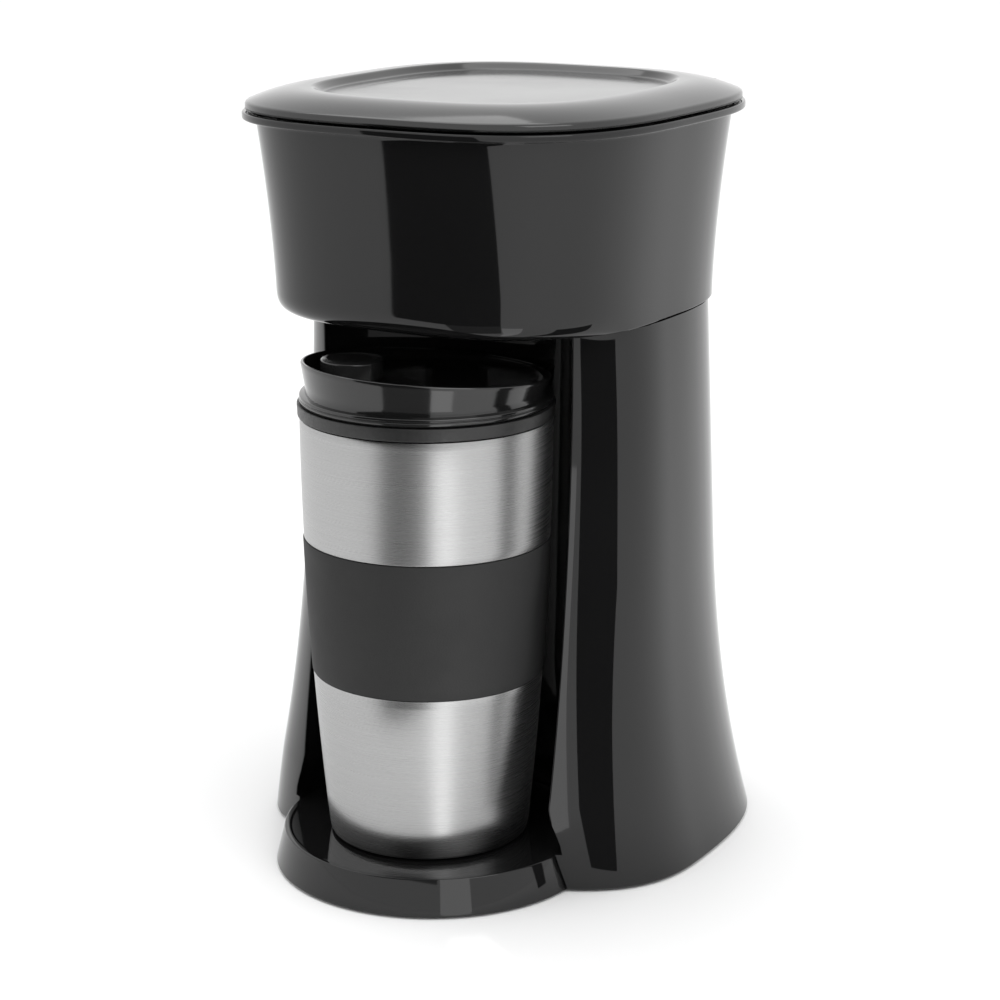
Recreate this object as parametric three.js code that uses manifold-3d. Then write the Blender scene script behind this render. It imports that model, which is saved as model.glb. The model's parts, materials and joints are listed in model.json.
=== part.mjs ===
// Single-mug drip coffee maker: a housing with a hinged lid, on a flared column that wraps round
// a travel mug standing on a low round platform.
// Millimetres, +Z up. Sizes are laid out from the mug's axis (x = 0, y = 0), with the front
// towards -Y, and the whole group is moved so that its origin is under the middle of its box.

import * as THREE from 'three';
import { mergeVertices } from 'three/addons/utils/BufferGeometryUtils.js';
import Module from 'manifold-3d';

const wasm = await Module();
wasm.setup();

// ---------------------------------------------------------------------------------------------
// Driving dimensions

const GAP = 0.3;                    // between pieces that touch
const WALL = 2.4;                   // moulded shells
const PLAN_SEGMENTS = 40;
const ROUND_SEGMENTS = 28;
const SMALL_SEGMENTS = 8;
const BORE_SEGMENTS = 16;
const WELD_DISTANCE = 1e-4;

// The plan shared by housing, lid and column: a superellipse centred behind the mug.
const PLAN_Y = 47.3;
const LID_HALF_X = 74;
const LID_HALF_Y = 81.5;
const HOUSING_POWER = 3;
const COLUMN_POWER = 2.7;

// Housing
const HOUSING_Z = 191.3;
const FLANGE_Z = 256.5;
const RIM_Z = 259;
const FLANGE_REACH = 1;
const HOUSING_TAPER = 8.3;
const HOUSING_FLARE = 5.2;
const HOUSING_FILLET = 8;

// Column
const SHELL_Z = 0.8;
const COLUMN_TOP_Z = HOUSING_Z - 0.35;
const COLUMN_HALF_X = 66;
const COLUMN_TAPER = 0.04;
const COLUMN_FLARE = 9.8;
const FLARE_TOP_Z = 105;
const REAR_EXTRA = LID_HALF_Y - LID_HALF_X;
const COLUMN_REAR_Y = PLAN_Y + COLUMN_HALF_X + REAR_EXTRA;
const CHEEK_X = 50.8;
const CHEEK_TOP_Y = 13;
const CHEEK_REACH = 17.1;
const CHEEK_TOP_Z = 170;
const TUCK_Z = 28;
const TUCK_D = 6;
const RECESS_R = 50;
const RECESS_FOOT_R = 54.4;
const RECESS_Y = 1;

// Platform under the mug
const PLATFORM_Y = 3.7;
const PLATFORM_R = 52.5;
const PLATFORM_FOOT_R = 55.8;
const PLATFORM_TOP_Z = 13.3;
const PLATFORM_WALL = 2.2;
const FLOOR_Z = 12.9;
const LEDGE_Z = PLATFORM_TOP_Z + 0.6;

// Base plate, feet and screws
const PLATE_Z = 1.5;
const PLATE_TOP_Z = 4.5;
const SEAT_WALL_Z = 5;
const FOOT_R = 8;
const REAR_FOOT_Y = COLUMN_REAR_Y - 15.8;
const FOOT_SPOTS = [[30, -25], [-30, -25], [52, REAR_FOOT_Y], [-52, REAR_FOOT_Y]];
const REAR_SCREW_Y = COLUMN_REAR_Y + 0.2;
const BASE_SCREW_SPOTS = [[66, 34], [-66, 34], [40, REAR_SCREW_Y], [-40, REAR_SCREW_Y]];
const PLATFORM_SCREW_SPOT = [0, -28];
const BODY_SCREW_SPOTS = [[55, 76], [-55, 76], [0, COLUMN_REAR_Y - 9.8]];
const DECK_SCREW_SPOTS = [[54, 38], [-54, 38]];
const SCREW_R = 1.5;
const SCREW_HEAD_R = 3;
const BOSS_R = 4;
const RIB_REACH = 30;
const RIB_HALF = 1;

// Brewing chamber and water tank, one moulding under the lid
const BREW_Y = 15;
const WELL_R = 39.9;
const WELL_FOOT_R = 34.3;
const WELL_Z = 196.5;
const DECK_Z = 253;
const DECK_TOP_Z = 255.2;
const MOULD_WALL = 2;
const BASKET_SLACK = 2.1;
const FILTER_R = WELL_R - MOULD_WALL - 5;
const FILTER_FOOT_R = WELL_FOOT_R - MOULD_WALL - 8.3;
const BAIL_R = FILTER_R - 5.4;
const TANK_FRONT_Y = 57;
const TANK_Z = 198;
const FEED_SPOT = [20, 95];
const RISER_SPOT = [-20, 95];
const PORT_R = 5;
const PORT_Z = 186;
const SLEEVE_R = 6;
const RISER_R = 4;
const RISER_TOP_Z = 250;
const NOZZLE_R = 5;
const NOZZLE_Z = 188.4;
const HANDLE_R = 1.3;
const HANDLE_Z = DECK_Z - 1.6;

// Lid and its hinge
const LID_Z = 259.4;
const LID_EDGE_Z = 262.2;
const LID_RIDGE_Z = 266.4;
const LID_DISH_Z = 263.9;
const LID_RIDGE_INSET = 18;
const LID_DISH_INSET = 25;
const HINGE_Y = PLAN_Y + LID_HALF_Y + 5.2;
const HINGE_Z = 259;
const HINGE_X = 32;
const HINGE_R = 2.9;
const PIN_R = 1.3;
const KNUCKLE_HALF = 4;
const EAR_T = 3.4;

// Heater in the column
const HEATER_Y = FEED_SPOT[1];
const HEATER_BEND_Z = 36;
const HEATER_TOP_Z = 72;

// Power switch on the left side of the column, cord inlet at the rear
const SWITCH_Y = 62;
const SWITCH_Z = 45;
const SWITCH_W = 21;
const SWITCH_H = 15;
const ROCKER_TILT = 8;
const LENS_Z = 62;
const LENS_R = 2.6;
const INLET_Z = 24;
const INLET_R = 5.2;

// Travel mug
const MUG_Z = 13.65;
const MUG_TOP_Z = 160.7;
const MUG_TOP_R = 42.5;
const MUG_TAPER = 8.2;
const MUG_SKIN = 2.4;
const BAND_Z = 72;
const BAND_TOP_Z = 118.8;
const BAND_PROUD = 0.3;
const COLLAR_R = MUG_TOP_R + 0.8;
const COLLAR_BORE_R = MUG_TOP_R - 5.1;
const COLLAR_TOP_Z = 165;
const LID_FLANGE_R = MUG_TOP_R + 0.1;
const LID_FLANGE_TOP_Z = 168.2;
const LID_RIM_R = MUG_TOP_R - 0.7;
const LID_SKIRT_R = COLLAR_BORE_R - 1.4;
const LID_RIM_Z = 176.3;
const LID_RIM_TILT = 4.9;
const MUG_LID_FLOOR_Z = 170.6;
const SIP_SPOT = [18 - MUG_TOP_R, -8];
const SIP_R = 10.5;

// ---------------------------------------------------------------------------------------------
// Materials

const plastic = (color, roughness) => new THREE.MeshStandardMaterial({ color, roughness, metalness: 0 });
const metal = (color, roughness) => new THREE.MeshStandardMaterial({ color, roughness, metalness: 1 });

const GLOSS_BLACK = plastic(0x101010, 0.12);
const MATTE_BLACK = plastic(0x1a1a1a, 0.6);
const RUBBER = plastic(0x2b2b2b, 0.85);
const GREY_PLASTIC = plastic(0x8c8c88, 0.5);
const SILICONE = plastic(0xd8d6cf, 0.45);
const NYLON_MESH = plastic(0xb9a583, 0.7);
const RED_LENS = plastic(0xb01818, 0.2);
const BRUSHED = metal(0xb8b8b8, 0.35);
const BRIGHT = metal(0xc8c8c8, 0.2);
const ALUMINIUM = metal(0xb0b2b4, 0.45);
const ZINC = metal(0x9a9a96, 0.4);

// ---------------------------------------------------------------------------------------------
// Geometry helpers

const rad = THREE.MathUtils.degToRad;

// Joins the vertices that neighbouring faces share and drops the triangles this collapses.
function weld(source) {
  const bare = source.clone();
  bare.deleteAttribute('normal');
  bare.deleteAttribute('uv');
  const merged = mergeVertices(bare, WELD_DISTANCE);
  const corners = merged.index.array;
  const kept = [];
  for (let i = 0; i < corners.length; i += 3) {
    const [a, b, c] = corners.slice(i, i + 3);
    if (a !== b && b !== c && c !== a) {
      kept.push(a, b, c);
    }
  }
  merged.setIndex(kept);
  return merged;
}

function solid(geometry) {
  const closed = weld(geometry);
  return new wasm.Manifold(new wasm.Mesh({
    numProp: 3,
    vertProperties: closed.attributes.position.array,
    triVerts: new Uint32Array(closed.index.array),
  }));
}

function geometryOf(body) {
  const mesh = body.getMesh();
  const geometry = new THREE.BufferGeometry();
  geometry.setAttribute('position', new THREE.BufferAttribute(mesh.vertProperties, 3));
  geometry.setIndex(new THREE.BufferAttribute(mesh.triVerts, 1));
  return geometry;
}

// A solid of revolution about a vertical axis, from [radius, z] pairs.
function turned(profile, [x, y] = [0, 0], segments = ROUND_SEGMENTS) {
  const points = profile.map(([r, z]) => new THREE.Vector2(r, z));
  return new THREE.LatheGeometry(points, segments).rotateX(Math.PI / 2).translate(x, y, 0);
}

function rod(radius, low, high, spot, segments = SMALL_SEGMENTS) {
  return turned([[0, low], [radius, low], [radius, high], [0, high]], spot, segments);
}

function box([x0, x1], [y0, y1], [z0, z1]) {
  return new THREE.BoxGeometry(x1 - x0, y1 - y0, z1 - z0)
    .translate((x0 + x1) / 2, (y0 + y1) / 2, (z0 + z1) / 2);
}

// A closed body on the shared plan. The form gives its half width and its reach to the front and
// the rear at each height, and inset moves every wall inwards.
function planBody(form, levels, inset = 0) {
  const low = levels[0];
  const high = levels[levels.length - 1];
  const geometry = turned([[0, low], ...levels.map((z) => [1, z]), [0, high]], [0, 0], PLAN_SEGMENTS);
  const position = geometry.attributes.position;
  for (let i = 0; i < position.count; i += 1) {
    const spread = Math.hypot(position.getX(i), position.getY(i));
    const angle = Math.atan2(position.getY(i), position.getX(i));
    const z = position.getZ(i);
    const c = Math.cos(angle);
    const s = Math.sin(angle);
    const reach = s < 0 ? form.front(z) : form.rear(z);
    const k = spread * (Math.abs(c) ** form.power + Math.abs(s) ** form.power) ** (-1 / form.power);
    const inwards = inset + form.round(z, s);
    position.setXYZ(i, k * c * (form.halfX(z) - inwards), PLAN_Y + k * s * (reach - inwards), z);
  }
  return geometry;
}

function shape(points) {
  return new THREE.Shape(points.map(([x, y]) => new THREE.Vector2(x, y)));
}

function roundedRectangle(width, height, radius) {
  const [w, h] = [width / 2 - radius, height / 2 - radius];
  const outline = new THREE.Shape();
  outline.absarc(w, h, radius, 0, Math.PI / 2);
  outline.absarc(-w, h, radius, Math.PI / 2, Math.PI);
  outline.absarc(-w, -h, radius, Math.PI, 1.5 * Math.PI);
  outline.absarc(w, -h, radius, 1.5 * Math.PI, 2 * Math.PI);
  return outline;
}

function ring(outer, inner) {
  const outline = new THREE.Shape().absarc(0, 0, outer, 0, 2 * Math.PI);
  if (inner) {
    outline.holes.push(new THREE.Path().absarc(0, 0, inner, 0, 2 * Math.PI, true));
  }
  return outline;
}

// An outline drawn in Y and Z, extruded along X.
function extrudedAlongX(outline, x0, x1, curveSegments = 5) {
  return new THREE.ExtrudeGeometry(outline, { depth: x1 - x0, bevelEnabled: false, curveSegments })
    .rotateX(Math.PI / 2)
    .rotateZ(Math.PI / 2)
    .translate(x0, 0, 0);
}

function tube(outer, inner, path, steps, curveSegments = 6) {
  return new THREE.ExtrudeGeometry(ring(outer, inner), { steps, curveSegments, extrudePath: path });
}

const vertical = (x, y, low, high) =>
  new THREE.LineCurve3(new THREE.Vector3(x, y, low), new THREE.Vector3(x, y, high));

// A screw standing on the point of its shank's root, shank upwards.
function screw(length) {
  return turned([
    [0, -1.6], [SCREW_HEAD_R - 0.6, -1.6], [SCREW_HEAD_R, -1], [SCREW_HEAD_R, 0],
    [SCREW_R, 0], [SCREW_R, length - 1.5], [0, length],
  ], [0, 0], 12);
}

const machine = new THREE.Group();

function add(name, geometry, material) {
  const mesh = new THREE.Mesh(weld(geometry), material);
  mesh.name = name;
  machine.add(mesh);
}

// ---------------------------------------------------------------------------------------------
// Forms

function filletInset(height, radius) {
  const left = Math.max(0, radius - Math.max(0, height));
  return radius - Math.sqrt(radius ** 2 - left ** 2);
}

// 0 on the sides and the rear, 1 across the front, where s is the sine of the plan angle.
const frontFade = (s) => THREE.MathUtils.smoothstep(-s, 0.3, 0.8);

function housingForm(floorZ = HOUSING_Z, fillet = HOUSING_FILLET) {
  const inset = (z) => {
    const rise = Math.max(0, (z - HOUSING_Z) / (FLANGE_Z - HOUSING_Z));
    return HOUSING_TAPER - HOUSING_FLARE * rise ** 1.6;
  };
  return {
    halfX: (z) => LID_HALF_X - inset(z),
    front: (z) => LID_HALF_Y - inset(z),
    rear: (z) => LID_HALF_Y - inset(z),
    power: HOUSING_POWER,
    round: (z, s) => frontFade(s) * filletInset(z - floorZ, fillet),
  };
}

const LID_FORM = {
  halfX: () => LID_HALF_X,
  front: () => LID_HALF_Y,
  rear: () => LID_HALF_Y,
  power: HOUSING_POWER,
  round: () => 0,
};

function columnHalfX(z) {
  const flare = Math.max(0, (FLARE_TOP_Z - z) / FLARE_TOP_Z);
  return COLUMN_HALF_X + COLUMN_TAPER * (COLUMN_TOP_Z - z) + COLUMN_FLARE * flare ** 2.25;
}

// Where the column's wall ends beside the mug: it comes forward lower down, and is tucked in a
// little again at the floor.
function cheekY(z) {
  const down = Math.max(0, (CHEEK_TOP_Z - z) / (CHEEK_TOP_Z - TUCK_Z));
  const tuck = Math.max(0, (TUCK_Z - z) / TUCK_Z);
  return CHEEK_TOP_Y - CHEEK_REACH * down ** 1.45 + TUCK_D * tuck ** 1.6;
}

const COLUMN_FORM = {
  halfX: columnHalfX,
  front: (z) => (PLAN_Y - cheekY(z))
    / (1 - (CHEEK_X / columnHalfX(z)) ** COLUMN_POWER) ** (1 / COLUMN_POWER),
  rear: (z) => columnHalfX(z) + REAR_EXTRA,
  power: COLUMN_POWER,
  round: () => 0,
};

// The recess round the mug, and its flared foot, grown outwards by a margin.
const recessBody = (margin) => turned([
  [0, LEDGE_Z], [RECESS_FOOT_R + margin, LEDGE_Z], [RECESS_FOOT_R - 0.5 + margin, 17],
  [RECESS_R + 2.6 + margin, 21], [RECESS_R + 1 + margin, 25], [RECESS_R + margin, 30],
  [RECESS_R + margin, 200], [0, 200],
], [0, RECESS_Y]);

const platformR = (z) =>
  PLATFORM_FOOT_R - (PLATFORM_FOOT_R - PLATFORM_R) * (z / PLATFORM_TOP_Z);

const mugR = (z) => MUG_TOP_R - MUG_TAPER * ((MUG_TOP_Z - z) / (MUG_TOP_Z - MUG_Z)) ** 1.9;

// ---------------------------------------------------------------------------------------------
// Column, platform and base

const COLUMN_LEVELS = [7, 15, 26, 40, 58, 80, 105, 135, 170];

// A screw boss with a rib that ties it to the nearest wall, x or y telling which way that is.
function boss([x, y], low, high, along) {
  const post = solid(rod(BOSS_R, low, high, [x, y]));
  const outer = x + RIB_REACH * Math.sign(x);
  const rib = along === 'x'
    ? box([Math.min(x, outer), Math.max(x, outer)], [y - RIB_HALF, y + RIB_HALF], [low, high])
    : box([x - RIB_HALF, x + RIB_HALF], [y, y + RIB_REACH], [low, high]);
  return post.add(solid(rib));
}

function columnShell() {
  const outer = solid(planBody(COLUMN_FORM, [SHELL_Z, ...COLUMN_LEVELS, COLUMN_TOP_Z]));
  const seat = turned([
    [0, -1], [platformR(-1) + GAP, -1], [platformR(LEDGE_Z) + GAP, LEDGE_Z], [0, LEDGE_Z],
  ], [0, PLATFORM_Y]);
  const seatWall = turned([
    [0, SEAT_WALL_Z], [platformR(SEAT_WALL_Z) + GAP + WALL, SEAT_WALL_Z],
    [platformR(LEDGE_Z) + GAP + WALL, LEDGE_Z + WALL], [0, LEDGE_Z + WALL],
  ], [0, PLATFORM_Y]);
  const hollow = solid(planBody(COLUMN_FORM, [-1, ...COLUMN_LEVELS, 192], WALL))
    .subtract(solid(recessBody(WALL)))
    .subtract(solid(seatWall));
  const inside = solid(planBody(COLUMN_FORM, [SEAT_WALL_Z, ...COLUMN_LEVELS, COLUMN_TOP_Z], WALL / 2));
  const posts = boss(BASE_SCREW_SPOTS[0], SEAT_WALL_Z, 22, 'x')
    .add(boss(BASE_SCREW_SPOTS[1], SEAT_WALL_Z, 22, 'x'))
    .add(boss(BASE_SCREW_SPOTS[2], SEAT_WALL_Z, 22, 'y'))
    .add(boss(BASE_SCREW_SPOTS[3], SEAT_WALL_Z, 22, 'y'))
    .add(boss(BODY_SCREW_SPOTS[0], 172, COLUMN_TOP_Z, 'x'))
    .add(boss(BODY_SCREW_SPOTS[1], 172, COLUMN_TOP_Z, 'x'))
    .add(boss(BODY_SCREW_SPOTS[2], 172, COLUMN_TOP_Z, 'y'));
  let shell = outer.subtract(solid(recessBody(0))).subtract(solid(seat)).subtract(hollow)
    .add(inside.intersect(posts));
  for (const spot of BASE_SCREW_SPOTS) {
    shell = shell.subtract(solid(rod(SCREW_R + GAP, 4, 19, spot)));
  }
  for (const spot of BODY_SCREW_SPOTS) {
    shell = shell.subtract(solid(rod(SCREW_R + GAP, 176, 195, spot)));
  }
  const switchOpening = switchPlaced(new THREE.BoxGeometry(SWITCH_W - 1.4, SWITCH_H - 1.4, 24));
  const lensBore = lensPlaced(rod(LENS_R + GAP, -8, 8, [0, 0], BORE_SEGMENTS));
  const inletBore = inletPlaced(rod(INLET_R + GAP, -12, 12, [0, 0], BORE_SEGMENTS));
  return geometryOf(shell
    .subtract(solid(switchOpening))
    .subtract(solid(lensBore))
    .subtract(solid(inletBore)));
}

function platform() {
  const inner = (z) => platformR(z) - PLATFORM_WALL;
  const underside = FLOOR_Z - PLATFORM_WALL;
  const disc = turned([
    [0, underside], [inner(underside), underside], [inner(SHELL_Z), SHELL_Z],
    [platformR(SHELL_Z), SHELL_Z], [platformR(PLATFORM_TOP_Z - 0.7), PLATFORM_TOP_Z - 0.7],
    [PLATFORM_R - 0.6, PLATFORM_TOP_Z], [PLATFORM_R - 1.3, PLATFORM_TOP_Z],
    [PLATFORM_R - 1.8, FLOOR_Z], [0, FLOOR_Z],
  ], [0, PLATFORM_Y]);
  const behind = box([-60, 60], [2, 70], [-1, underside - 0.5]);
  return geometryOf(solid(disc)
    .subtract(solid(behind))
    .add(solid(rod(BOSS_R, SEAT_WALL_Z, FLOOR_Z - 1, PLATFORM_SCREW_SPOT)))
    .subtract(solid(rod(SCREW_R + GAP, 4, FLOOR_Z - 1.8, PLATFORM_SCREW_SPOT))));
}

function basePlate() {
  const discR = platformR(PLATE_TOP_Z) - PLATFORM_WALL - GAP;
  let plate = solid(planBody(COLUMN_FORM, [PLATE_Z, PLATE_TOP_Z], WALL + GAP + 0.1))
    .intersect(solid(box([-90, 90], [2.4, 150], [0, SEAT_WALL_Z])))
    .add(solid(rod(discR, PLATE_Z, PLATE_TOP_Z, [0, PLATFORM_Y], ROUND_SEGMENTS)));
  for (const spot of FOOT_SPOTS) {
    plate = plate.subtract(solid(rod(3 + GAP, 0, 6, spot)));
  }
  for (const spot of [...BASE_SCREW_SPOTS, PLATFORM_SCREW_SPOT]) {
    plate = plate
      .subtract(solid(rod(SCREW_R + GAP, 0, 6, spot)))
      .subtract(solid(rod(SCREW_HEAD_R + GAP, 0, PLATE_TOP_Z - 1, spot)));
  }
  for (let i = -2; i <= 2; i += 1) {
    plate = plate.subtract(solid(box([i * 8 - 1.5, i * 8 + 1.5], [60, 84], [0, 6])));
  }
  return geometryOf(plate);
}

function foot(spot) {
  return turned([
    [0, 0], [FOOT_R - 0.6, 0], [FOOT_R, 0.6], [FOOT_R, PLATE_Z - GAP], [3, PLATE_Z - GAP],
    [3, PLATE_TOP_Z + GAP], [3.9, PLATE_TOP_Z + GAP], [2.2, PLATE_TOP_Z + 2.8], [0, PLATE_TOP_Z + 2.8],
  ], spot, 16);
}

// ---------------------------------------------------------------------------------------------
// Housing, brewing chamber and lid

function ear(x0) {
  const outline = new THREE.Shape();
  outline.moveTo(HINGE_Y - 16, 249.5);
  outline.lineTo(HINGE_Y - 7, 249.5);
  outline.absarc(HINGE_Y, HINGE_Z, HINGE_R, -0.8, 2.6);
  outline.lineTo(HINGE_Y - 4.5, 257.6);
  outline.lineTo(HINGE_Y - 16, 257.6);
  return solid(extrudedAlongX(outline, x0, x0 + EAR_T));
}

function hingeBore(radius, x0, x1) {
  const outline = new THREE.Shape().absarc(HINGE_Y, HINGE_Z, radius, 0, 2 * Math.PI);
  return extrudedAlongX(outline, x0, x1);
}

function housingShell() {
  const outer = solid(planBody(housingForm(), [
    HOUSING_Z, HOUSING_Z + 1.1, HOUSING_Z + 3.6, HOUSING_Z + HOUSING_FILLET, 218, 238, FLANGE_Z + 0.2,
  ]));
  const flange = solid(planBody(LID_FORM, [FLANGE_Z, FLANGE_Z + 0.6, RIM_Z - 0.6, RIM_Z], -FLANGE_REACH));
  const hollow = solid(planBody(housingForm(HOUSING_Z + WALL, HOUSING_FILLET - WALL), [
    HOUSING_Z + WALL, HOUSING_Z + WALL + 1.8, HOUSING_Z + HOUSING_FILLET, 218, 238, RIM_Z + 1,
  ], WALL));
  let shell = outer.add(flange);
  for (const side of [-1, 1]) {
    const middle = side * HINGE_X;
    shell = shell.add(ear(middle - KNUCKLE_HALF - GAP - EAR_T)).add(ear(middle + KNUCKLE_HALF + GAP));
  }
  shell = shell.subtract(hollow);
  for (const spot of DECK_SCREW_SPOTS) {
    shell = shell
      .add(solid(rod(BOSS_R, HOUSING_Z + 1, DECK_Z - GAP, spot)))
      .subtract(solid(rod(SCREW_R + GAP, DECK_Z - 14, DECK_Z + 1, spot)));
  }
  for (const spot of BODY_SCREW_SPOTS) {
    shell = shell.subtract(solid(rod(SCREW_R + GAP, HOUSING_Z - 1, HOUSING_Z + 4, spot)));
  }
  for (const spot of [FEED_SPOT, RISER_SPOT]) {
    shell = shell.subtract(solid(rod(SLEEVE_R + 1, HOUSING_Z - 1, HOUSING_Z + 4, spot)));
  }
  const bores = solid(hingeBore(PIN_R + GAP, -50, 50));
  return geometryOf(shell
    .subtract(solid(rod(NOZZLE_R + 1, HOUSING_Z - 1, HOUSING_Z + 4, [0, BREW_Y], BORE_SEGMENTS)))
    .subtract(bores));
}

function reservoir() {
  const form = housingForm();
  const clear = WALL + 0.6;
  const rearBlock = (z0, z1, front) => solid(box([-LID_HALF_X, LID_HALF_X], [front, HINGE_Y], [z0, z1]));
  const tank = solid(planBody(form, [TANK_Z, 222, 240, DECK_Z + 1], clear))
    .intersect(rearBlock(TANK_Z - 1, DECK_TOP_Z, TANK_FRONT_Y));
  const water = solid(planBody(form, [TANK_Z + MOULD_WALL, 222, 240, DECK_TOP_Z + 1], clear + MOULD_WALL))
    .intersect(rearBlock(TANK_Z, DECK_TOP_Z + 2, TANK_FRONT_Y + MOULD_WALL));
  const deck = solid(planBody(form, [DECK_Z, DECK_TOP_Z], clear));
  const well = solid(turned([
    [0, WELL_Z], [WELL_FOOT_R, WELL_Z], [WELL_R, DECK_Z + 1], [0, DECK_Z + 1],
  ], [0, BREW_Y]));
  const brewSpace = solid(turned([
    [0, WELL_Z + MOULD_WALL], [WELL_FOOT_R - MOULD_WALL, WELL_Z + MOULD_WALL],
    [WELL_R - MOULD_WALL, DECK_Z + 1], [WELL_R - MOULD_WALL, DECK_TOP_Z + 1], [0, DECK_TOP_Z + 1],
  ], [0, BREW_Y]));
  let body = deck.add(tank).add(well).subtract(water).subtract(brewSpace)
    .add(solid(rod(PORT_R, PORT_Z, TANK_Z + 1, FEED_SPOT)))
    .add(solid(rod(SLEEVE_R, PORT_Z, RISER_TOP_Z - 2, RISER_SPOT)))
    .subtract(solid(rod(PORT_R - 2, PORT_Z - 1, TANK_Z + 4, FEED_SPOT)))
    .subtract(solid(rod(RISER_R + GAP, PORT_Z - 1, RISER_TOP_Z, RISER_SPOT, BORE_SEGMENTS)))
    .subtract(solid(rod(NOZZLE_R + GAP, WELL_Z - 1, WELL_Z + 4, [0, BREW_Y], BORE_SEGMENTS)));
  for (const spot of DECK_SCREW_SPOTS) {
    body = body.subtract(solid(rod(SCREW_R + GAP, DECK_Z - 1, DECK_TOP_Z + 1, spot)));
  }
  return geometryOf(body);
}

function nozzle() {
  const flangeZ = WELL_Z + MOULD_WALL + GAP;
  return turned([
    [3, NOZZLE_Z], [NOZZLE_R - 0.8, NOZZLE_Z], [NOZZLE_R, NOZZLE_Z + 1.5], [NOZZLE_R, flangeZ],
    [9, flangeZ], [9, flangeZ + 1], [3, flangeZ + 1], [3, NOZZLE_Z],
  ], [0, BREW_Y], BORE_SEGMENTS);
}

function filterBasket() {
  const floorZ = WELL_Z + MOULD_WALL + 3;
  const footR = WELL_FOOT_R - MOULD_WALL - BASKET_SLACK;
  const topR = WELL_R - MOULD_WALL - BASKET_SLACK;
  const t = 1.5;
  return turned([
    [4, floorZ], [footR, floorZ], [topR, DECK_TOP_Z + GAP], [topR + 4.6, DECK_TOP_Z + GAP],
    [topR + 4.6, DECK_TOP_Z + GAP + 1.2], [topR - t, DECK_TOP_Z + GAP + 1.2],
    [footR - t, floorZ + t], [4, floorZ + t], [4, floorZ],
  ], [0, BREW_Y]);
}

function permanentFilter() {
  const low = WELL_Z + MOULD_WALL + 6.5;
  const high = DECK_Z - 4;
  let filter = solid(turned([
    [0, low], [FILTER_FOOT_R, low], [FILTER_R - 1.1, high - 1.6], [FILTER_R, high - 1.6],
    [FILTER_R, high], [FILTER_R - 2.1, high], [FILTER_FOOT_R - 0.8, low + 0.9], [0, low + 0.9],
  ], [0, BREW_Y]));
  for (const side of [-1, 1]) {
    const reach = [(FILTER_R - 2.3) * side, (FILTER_R - 0.5) * side].sort((a, b) => a - b);
    filter = filter.add(solid(box(reach, [BREW_Y - 3, BREW_Y + 3], [high - 1.2, HANDLE_Z + 2.8])));
  }
  return geometryOf(filter.subtract(solid(handlePivot(HANDLE_R + GAP, 40))));
}

// A bar through the pivots of the filter's handle.
function handlePivot(radius, reach) {
  const outline = new THREE.Shape().absarc(BREW_Y, HANDLE_Z, radius, 0, 2 * Math.PI);
  return extrudedAlongX(outline, -reach, reach);
}

// The bail of the filter, folded down towards the front, with a short pin at each end.
function filterHandle() {
  const path = new THREE.CatmullRomCurve3([0, 30, 60, 90, 120, 150, 180].map((degrees) =>
    new THREE.Vector3(BAIL_R * Math.cos(rad(degrees)), -BAIL_R * Math.sin(rad(degrees)), 0)));
  const bail = solid(tube(HANDLE_R, 0, path, 16, 3).translate(0, BREW_Y, HANDLE_Z));
  const between = box([0.5 - BAIL_R, BAIL_R - 0.5], [BREW_Y - 15, BREW_Y + 15], [245, 258]);
  const pins = solid(handlePivot(HANDLE_R, FILTER_R - 1)).subtract(solid(between));
  return geometryOf(bail.add(pins));
}

// The lid's section from its edge to its middle: shoulder, ridge, then the sunken dish.
function lidSurface(edgeZ, drop, inset) {
  const ridge = LID_RIDGE_Z - drop;
  const dish = LID_DISH_Z - drop;
  const half = LID_HALF_X - inset;
  return [
    [half, edgeZ], [half - 1, edgeZ + 0.5], [half - 8, edgeZ + (ridge - edgeZ) * 0.55],
    [half - LID_RIDGE_INSET, ridge], [half - LID_RIDGE_INSET - 2, ridge - 0.4],
    [half - LID_DISH_INSET, dish], [0, dish],
  ];
}

// Bends a turned body, whose radii count along X, onto the lid's plan.
function onLidPlan(geometry) {
  const position = geometry.attributes.position;
  for (let i = 0; i < position.count; i += 1) {
    const r = Math.hypot(position.getX(i), position.getY(i));
    const angle = Math.atan2(position.getY(i), position.getX(i));
    const c = Math.cos(angle);
    const s = Math.sin(angle);
    const k = (Math.abs(c) ** HOUSING_POWER + Math.abs(s) ** HOUSING_POWER) ** (-1 / HOUSING_POWER);
    const stretch = 1 + (LID_HALF_Y - LID_HALF_X) / LID_HALF_X;
    position.setXY(i, r * k * c, PLAN_Y + r * k * s * stretch);
  }
  return geometry;
}

function lidShell() {
  const top = lidSurface(LID_EDGE_Z, 0, 0);
  const under = lidSurface(LID_Z + 1.2, WALL, WALL).reverse();
  const skin = onLidPlan(turned([
    ...under, [LID_HALF_X - WALL, LID_Z], [LID_HALF_X - 0.6, LID_Z], [LID_HALF_X, LID_Z + 0.6], ...top,
  ], [0, 0], PLAN_SEGMENTS));
  let lid = solid(skin);
  for (const side of [-1, 1]) {
    const x0 = side * HINGE_X - KNUCKLE_HALF;
    const arm = box([x0, x0 + 2 * KNUCKLE_HALF], [HINGE_Y - 9.5, HINGE_Y], [LID_Z + 0.2, LID_EDGE_Z - 0.4]);
    lid = lid.add(solid(arm)).add(solid(hingeBore(HINGE_R, x0, x0 + 2 * KNUCKLE_HALF)));
  }
  return geometryOf(lid.subtract(solid(hingeBore(PIN_R + GAP, -50, 50))));
}

function lidLiner() {
  const half = LID_HALF_X - 9;
  const low = LID_Z - 1;
  return onLidPlan(turned([
    [0, low], [half - 1, low], [half, low + 0.8], [half, low + 1.9], [0, low + 1.9],
  ], [0, 0], PLAN_SEGMENTS));
}

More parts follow.
